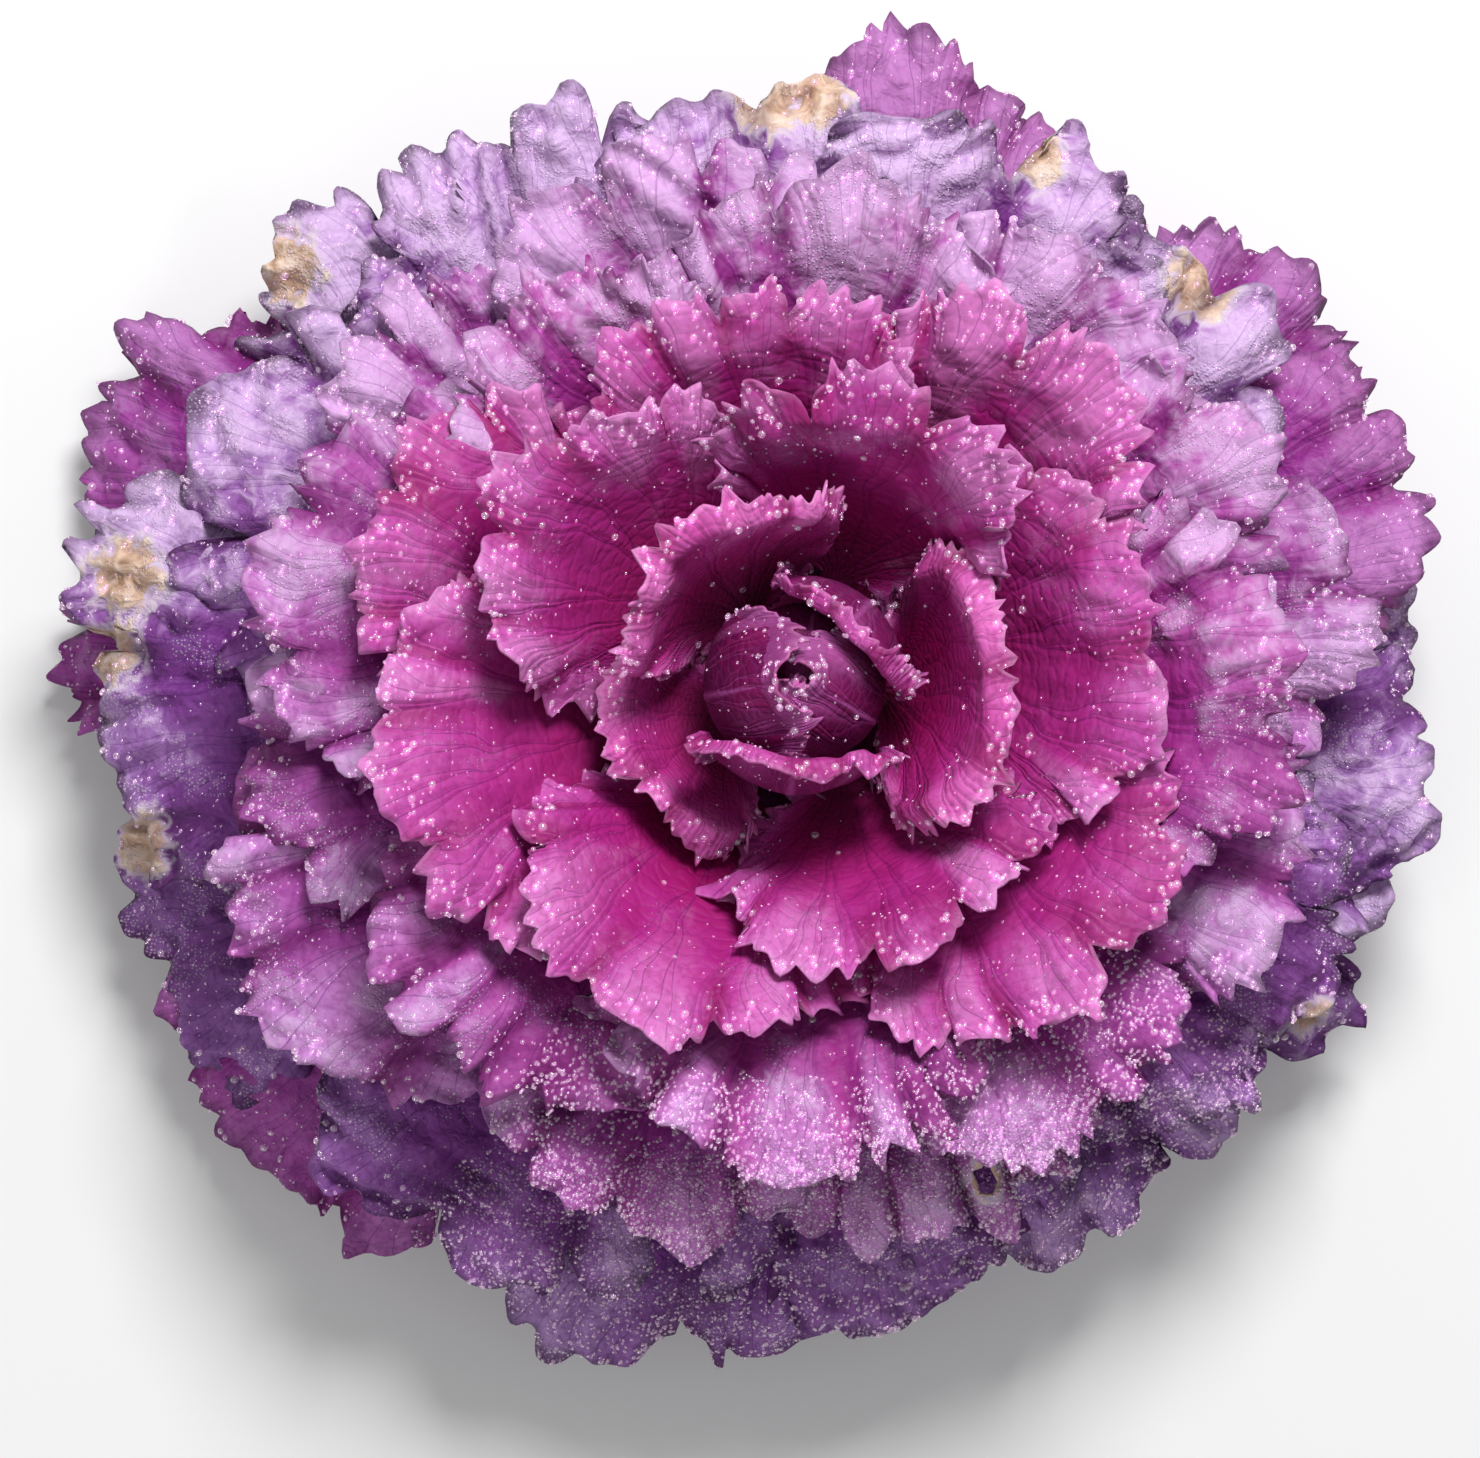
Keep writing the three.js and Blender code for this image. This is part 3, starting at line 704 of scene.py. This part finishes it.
middle_skin = leaf_skin(
    "middle_skin",
    ages=(26, 52), young=("5a002c", "9a0a60", "ac2484", "be4ca6"),
    face=("520026", "94085c", "aa2684", "c050a8"),
    back=("c48cb8", "a04490", "aa3a90", "c05caa"),
    vein="460448", back_vein="c888bc", crest="d878c4",
    frost=0.12, mist_cover=0.6, wrinkle=0.8, rim="eab0de", rim_cover=0.25,
)
for number, (azimuth, reach, width) in enumerate(MIDDLE_LEAVES, 1):
    node = f"middle_leaf_{number:02d}"
    leaf = grow_leaf(f"{node}_frilled", MIDDLE, azimuth, reach, width, middle_skin)
    dress(leaf, node)

# ---- Spreading leaves ----------------------------------------------------------------------------
# Seventeen older leaves that lie out flat below the middle ones. Their colour goes from magenta to
# violet, and frost and mist have paled their ruffled ends.

SPREADING = dict(
    stalk=0.3, half_stalk=4.2, keel=2.4, ruffle=3.9, crumple=1.6, wrap=0.76, below=6.2, narrow=1,
    lobes=11, lobe_depth=4.6, blunt=1.1, notch=6, teeth=42, tooth=3.7, pointed=0.9, knobbed=0,
    frill=3, sway=1.8, roll=0.4, droop=1.4,
    columns=240, rows=34, kept=0.3, drops=2.2, specks=10, beads=6,
    dew="spreading",
)
SPREADING_LEAVES = [
    (356, 99, 78), (270, 104, 78), (127, 98, 64), (226, 106, 78), (86, 105, 74), (25, 106, 70),
    (303, 111, 76), (167, 115, 80), (336, 113, 71), (52, 110, 76), (109, 117, 76), (250, 123, 78),
    (189, 117, 76), (143, 119, 76), (285, 122, 78), (12, 121, 78), (209, 134, 86),
]
# A hole that an insect bit, with a browned rim: azimuth, distance from the stem's axis and radius.
BITE = (290.4, 115.5, 2.2)

spreading_skin = leaf_skin(
    "spreading_skin",
    ages=(40, 76), young=("520026", "8c0a60", "a42c88", "bc5cac"),
    face=("4c0440", "821674", "9c3494", "b264b0"),
    back=("b88aba", "944e9c", "8e4298", "a66ab0"),
    vein="4c0e5e", back_vein="c094c4", crest="cc94d4",
    frost=0.52, mist_cover=0.85, wrinkle=1.6, rim="42143f", rim_cover=0.35,
)
for number, (azimuth, reach, width) in enumerate(SPREADING_LEAVES, 1):
    node = f"spreading_leaf_{number:02d}"
    bitten = [BITE] if number == 15 else []
    browned = [(*BITE[:2], 6)] if number == 15 else []
    leaf = grow_leaf(
        f"{node}_frilled", SPREADING, azimuth, reach, width, spreading_skin, browned, holes=bitten
    )
    dress(leaf, node)

# ---- Skirt leaves --------------------------------------------------------------------------------
# The oldest leaves, at the bottom, which droop. They are violet with a lavender bloom and blunt,
# dark-tipped lobes, and some of their margins have dried to tan. A few that lay under the others
# kept the magenta of young leaves.

SKIRT = dict(
    stalk=0.36, half_stalk=4.6, keel=2.6, ruffle=4, crumple=3, wrap=0.7, below=6.6, narrow=1,
    lobes=8, lobe_depth=6, blunt=0.8, notch=7, teeth=24, tooth=4.3, pointed=0.8, knobbed=0.7,
    frill=3.5, sway=2.2, roll=0.3, droop=2.4,
    columns=240, rows=34, kept=0.3, drops=1, specks=7, beads=5,
    dew="skirt",
)
SKIRT_LEAVES = [
    (325, 130, 80), (68, 127, 80), (97, 129, 80), (158, 136, 80), (46, 126, 80), (236, 150, 80),
    (280, 139, 80), (348, 139, 80), (122, 138, 80), (180, 158, 84), (303, 138, 80), (20, 144, 66),
    (77, 141, 62), (258, 154, 84), (202, 160, 84), (141, 147, 80), (331, 140, 78), (36, 144, 60),
    (158, 169, 59), (220, 165, 80), (2, 137, 76), (177, 168, 42),
]
MAGENTA_LEAVES = (12, 13, 18, 19, 20, 22)
SHADED_SKIRT = dict(SKIRT, lobe_depth=3, notch=2.4, teeth=44, tooth=3, knobbed=0, crumple=1.6, roll=0.1)
# Dried patches of the margin: azimuth, distance from the stem's axis and size.
DRIED = [
    (44.6, 124, 11), (65.6, 126, 9), (88, 129, 10), (93, 128, 11), (141, 147, 12),
    (171, 151, 12), (177.5, 154, 10), (194, 151, 10), (327, 136, 6),
]

skirt_skin = leaf_skin(
    "skirt_skin",
    ages=(80, 118), young=("480438", "741c74", "883a92", "a064b0"),
    face=("38063a", "5e1a6c", "7a3a8c", "9866ac"),
    back=("b096ba", "825aa0", "7c509c", "9272b0"),
    vein="3c165e", back_vein="b498c0", crest="c6a8d8",
    frost=0.7, mist_cover=0.95, wrinkle=3.4, rim="3c1444", rim_cover=0.75,
)
magenta_skin = leaf_skin(
    "magenta_skirt_skin",
    ages=(100, 134), young=("480834", "8a1a7c", "9c3494", "aa509e"),
    face=("480834", "7e1672", "8c2a88", "9a4296"),
    back=("b490b8", "8c5898", "8a4a96", "9c60a8"),
    vein="4a1460", back_vein="b890b8", crest="bc74bc",
    frost=0.16, mist_cover=0.5, wrinkle=2.8, rim="42143e", rim_cover=0.6,
)
for number, (azimuth, reach, width) in enumerate(SKIRT_LEAVES, 1):
    node = f"skirt_leaf_{number:02d}"
    if number in MAGENTA_LEAVES:
        leaf = grow_leaf(f"{node}_frilled", SHADED_SKIRT, azimuth, reach, width, magenta_skin)
    else:
        leaf = grow_leaf(f"{node}_frilled", SKIRT, azimuth, reach, width, skirt_skin, DRIED)
    dress(leaf, node)

# ---- Dew -----------------------------------------------------------------------------------------
# Drops of water that stand on the leaves wherever they are open to the sky, the largest along the
# margins and on the teeth. They are thickest on the lower front leaves, where they nearly touch.

# Least and most radius in millimetres, how crowded they are towards the margin, and where that starts.
LARGE_DROPS = (0.55, 1.1, 3.2, 0.86)
SMALL_DROPS = (0.28, 0.46, 1.0, 0.45)
BEAD_GROWTH = 0.45
# Radius from which a drop is given the finer ball, how flat each is pressed along the leaf's normal,
# and how far its middle stands off the leaf, as shares of its radius.
ROUND_DROP = 0.75
DROP_FLATTENING = 0.3
DROP_STAND = 0.45
# How far a face has to look up to hold drops, and the gap above it that the look at the sky skips.
LEAST_UPWARD = 0.15
RAY_CLEARANCE = 0.0012
# The arc of the low front, and the distance from the axis beyond which its drops stand close.
BEADED_ARC = (math.radians(235), math.radians(322))
BEADED_FROM = 0.085

dew_skin, tree, surface = new_skin("dew")
# The drop's milky lilac body is painted light: it stands in for the leaf's colour seen through the water
# and the light gathered in the drop, which clear water would show by itself.
surface.inputs["Base Color"].default_value = (1, 0.74, 0.97, 1)
surface.inputs["Roughness"].default_value = 0.02
surface.inputs["IOR"].default_value = 1.33
surface.inputs["Transmission Weight"].default_value = 0.74
surface.inputs["Coat Weight"].default_value = 1
surface.inputs["Coat Roughness"].default_value = 0.12
surface.inputs["Coat IOR"].default_value = 2.4

templates = []
for cuts in (1, 2):
    bpy.ops.object.select_all(action="DESELECT")
    bpy.ops.mesh.primitive_ico_sphere_add(subdivisions=cuts, radius=1, location=(0, 0, 0))
    ball = bpy.context.object
    templates.append(
        (np.array([v.co for v in ball.data.vertices]), np.array([p.vertices for p in ball.data.polygons]))
    )
    bpy.data.objects.remove(ball)

random = np.random.default_rng(41)
depsgraph = bpy.context.evaluated_depsgraph_get()
covers = [BVHTree.FromObject(leaf, depsgraph) for leaf, _, _ in upper_faces]
drops = {kind: [] for kind in ("heart", "middle", "spreading", "skirt")}
for index, (leaf, kind, faces) in enumerate(upper_faces):
    mesh = leaf.data
    count = len(mesh.polygons)
    centres, normals, areas = np.empty(count * 3), np.empty(count * 3), np.empty(count)
    mesh.polygons.foreach_get("center", centres)
    mesh.polygons.foreach_get("normal", normals)
    mesh.polygons.foreach_get("area", areas)
    centres, normals = centres.reshape(-1, 3), normals.reshape(-1, 3)
    starts = np.empty(count, int)
    mesh.polygons.foreach_get("loop_start", starts)
    places = np.empty(len(mesh.loops) * 2)
    mesh.uv_layers["leaf_map"].data.foreach_get("uv", places)
    share = places.reshape(-1, 2)[starts, 1]
    outer = normals[:, 2] > LEAST_UPWARD
    if kind not in (HEART, FOLDED_HEART):
        outer[faces:] = False
    turn = np.arctan2(centres[:, 1], centres[:, 0]) % (2 * math.pi)
    beaded = (turn > BEADED_ARC[0]) & (turn < BEADED_ARC[1])
    beaded &= np.hypot(centres[:, 0], centres[:, 1]) > BEADED_FROM
    for size_class, per_cm2 in ((LARGE_DROPS, kind["drops"]), (SMALL_DROPS, kind["specks"])):
        size_low, size_high, crowding, margin_start = size_class
        near = smooth((share - margin_start) / (1 - margin_start))
        small = beaded & (size_class == SMALL_DROPS)
        more = np.where(small, kind["beads"], 1)
        weight = areas * 1e4 * outer * per_cm2 * (0.06 + crowding * near**2) * more
        wanted = random.poisson(weight)
        for face in np.repeat(np.arange(count), wanted):
            corners = [mesh.vertices[v].co for v in mesh.polygons[face].vertices]
            mix = random.dirichlet(np.ones(len(corners)))
            point = sum((c * m for c, m in zip(corners, mix)), Vector())
            size = random.uniform(size_low, size_high) * random.uniform(0.7, 1)
            size *= 1 + BEAD_GROWTH * small[face]
            above = point + Vector((0, 0, RAY_CLEARANCE))
            if any(cover.ray_cast(above, Vector((0, 0, 1)))[0] for cover in covers[: index + 1]):
                continue
            drops[kind["dew"]].append((np.array(point), normals[face], size))

for name, beads in drops.items():
    points, triangles, passed = [], [], 0
    for point, normal, size in beads:
        ball, sides = templates[size > ROUND_DROP]
        squashed = ball - DROP_FLATTENING * (ball @ normal)[:, None] * normal
        points.append(point + (squashed + DROP_STAND * normal) * size * MM)
        triangles.append(sides + passed)
        passed += len(ball)
    mesh = bpy.data.meshes.new(f"{name}_dew")
    mesh.from_pydata(np.concatenate(points).tolist(), [], np.concatenate(triangles).tolist())
    mesh.shade_smooth()
    mesh.materials.append(dew_skin)
    dew = bpy.data.objects.new(f"{name}_dew", mesh)
    bpy.context.scene.collection.objects.link(dew)
    # Light falls through water, so the leaf below a drop isn't in its shade.
    dew.visible_shadow = False
    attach(dew, "root")

# ---- Floor, lights and camera --------------------------------------------------------------------
# A plain pale studio floor that the head stands on, soft light from above, and a camera that looks
# straight down on the heart.

FLOOR_WIDTH = 30
HEART_HEIGHT = 0.08
SENSOR_WIDTH = 36
# Width of what the camera takes in, and its distance from it, both in millimetres.
VIEW_WIDTH = 316
VIEW_DISTANCE = 1200

bpy.ops.object.select_all(action="DESELECT")
bpy.ops.mesh.primitive_plane_add(size=FLOOR_WIDTH, location=(0, 0, 0))
floor = bpy.context.object
floor.name = "studio_floor"
floor_skin, tree, surface = new_skin("floor_paper")
surface.inputs["Base Color"].default_value = (0.86, 0.86, 0.86, 1)
surface.inputs["Roughness"].default_value = 0.9
floor.data.materials.append(floor_skin)

world = bpy.data.worlds.new("studio")
bpy.context.scene.world = world
world.use_nodes = True
world.node_tree.nodes["Background"].inputs["Color"].default_value = (1, 1, 1, 1)
world.node_tree.nodes["Background"].inputs["Strength"].default_value = 0.34


def add_lamp(name, place, size, power):
    lamp = bpy.data.lights.new(name, "AREA")
    lamp.shape = "DISK"
    lamp.size = size
    lamp.energy = power
    holder = bpy.data.objects.new(name, lamp)
    bpy.context.scene.collection.objects.link(holder)
    holder.location = place
    to_heart = Vector((0, 0, HEART_HEIGHT)) - Vector(place)
    holder.rotation_euler = to_heart.to_track_quat("-Z", "Y").to_euler()


add_lamp("key_lamp", (0.22, 0.82, 1.15), 0.5, 20)
add_lamp("fill_lamp", (-0.5, -0.85, 0.62), 0.4, 2)

lens = bpy.data.cameras.new("camera")
lens.sensor_width = SENSOR_WIDTH
lens.lens = SENSOR_WIDTH * VIEW_DISTANCE / VIEW_WIDTH
camera = bpy.data.objects.new("camera", lens)
bpy.context.scene.collection.objects.link(camera)
camera.location = (-0.0128, -0.0105, 1.295)
bpy.context.scene.camera = camera
bpy.context.scene.view_settings.view_transform = "Standard"
